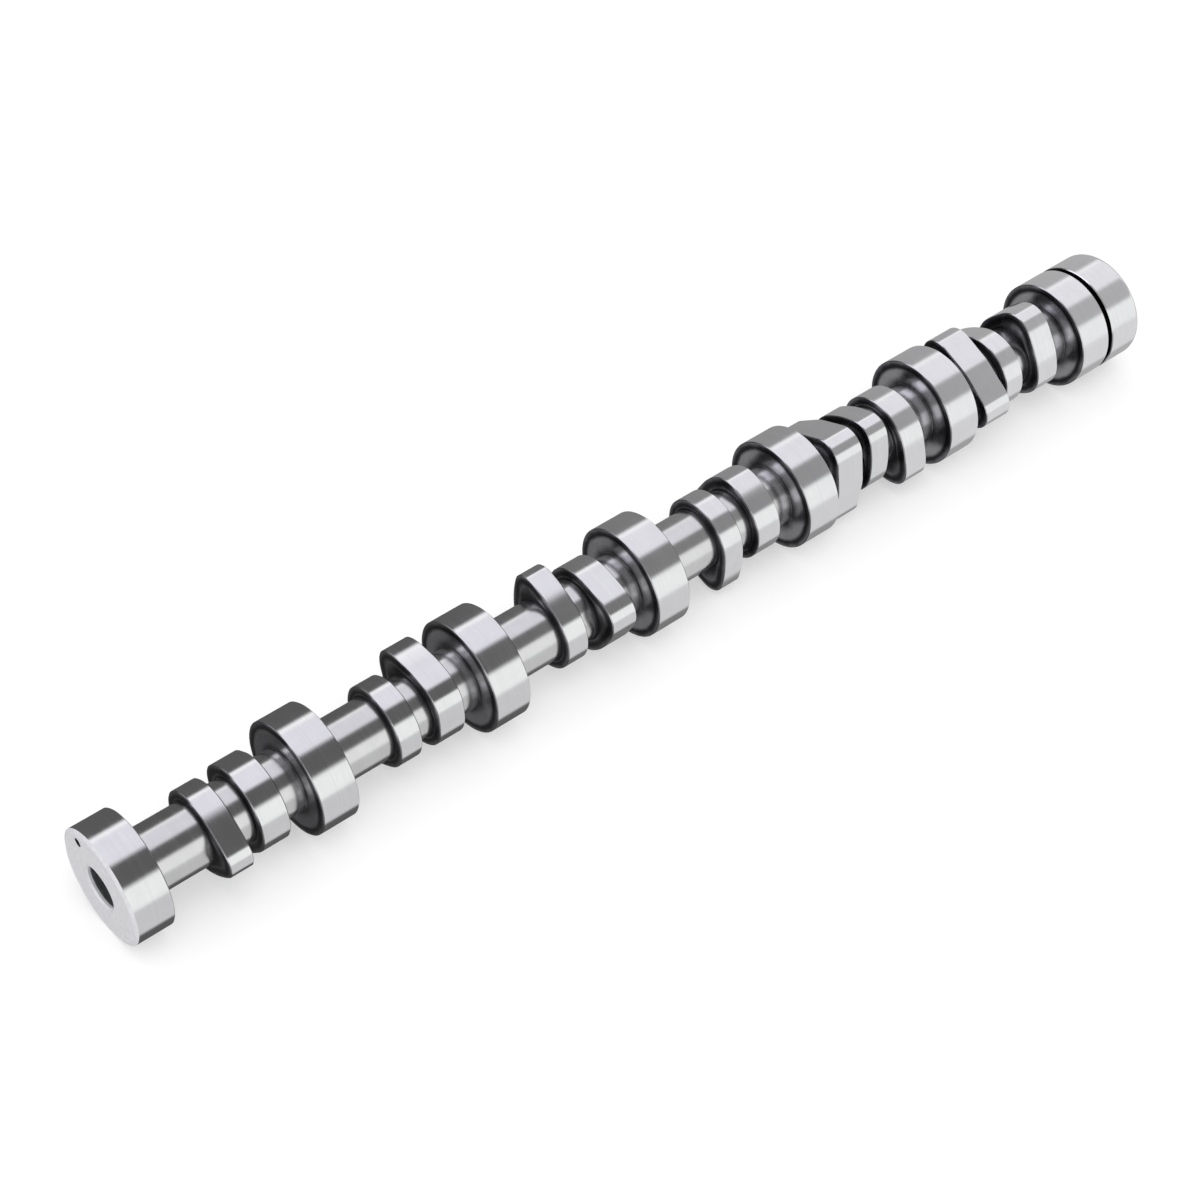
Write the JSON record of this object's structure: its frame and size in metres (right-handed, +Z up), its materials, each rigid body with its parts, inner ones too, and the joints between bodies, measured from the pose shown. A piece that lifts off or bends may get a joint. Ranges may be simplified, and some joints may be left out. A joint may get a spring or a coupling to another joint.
{
  "type": "camshaft",
  "caption": "Solid engine camshaft with round journals between its valve lobes, fuel pump lobes near the rear, and a centre bore and dowel hole in its front face for a timing gear.",
  "frame": {"origin": "centre of the front face, on the shaft's axis", "axes": "+X along the shaft from the front face to the rear end, +Z up, shaft lying level"},
  "size_m": [0.838, 0.078, 0.078],
  "materials": {
    "ground_steel": "bright ground journals and lobes with fine lines around the shaft, turned necks, dark hardened side faces and a light matt front face"
  },
  "bodies": {
    "root": {"camshaft": "ground_steel"}
  },
  "joints": []
}
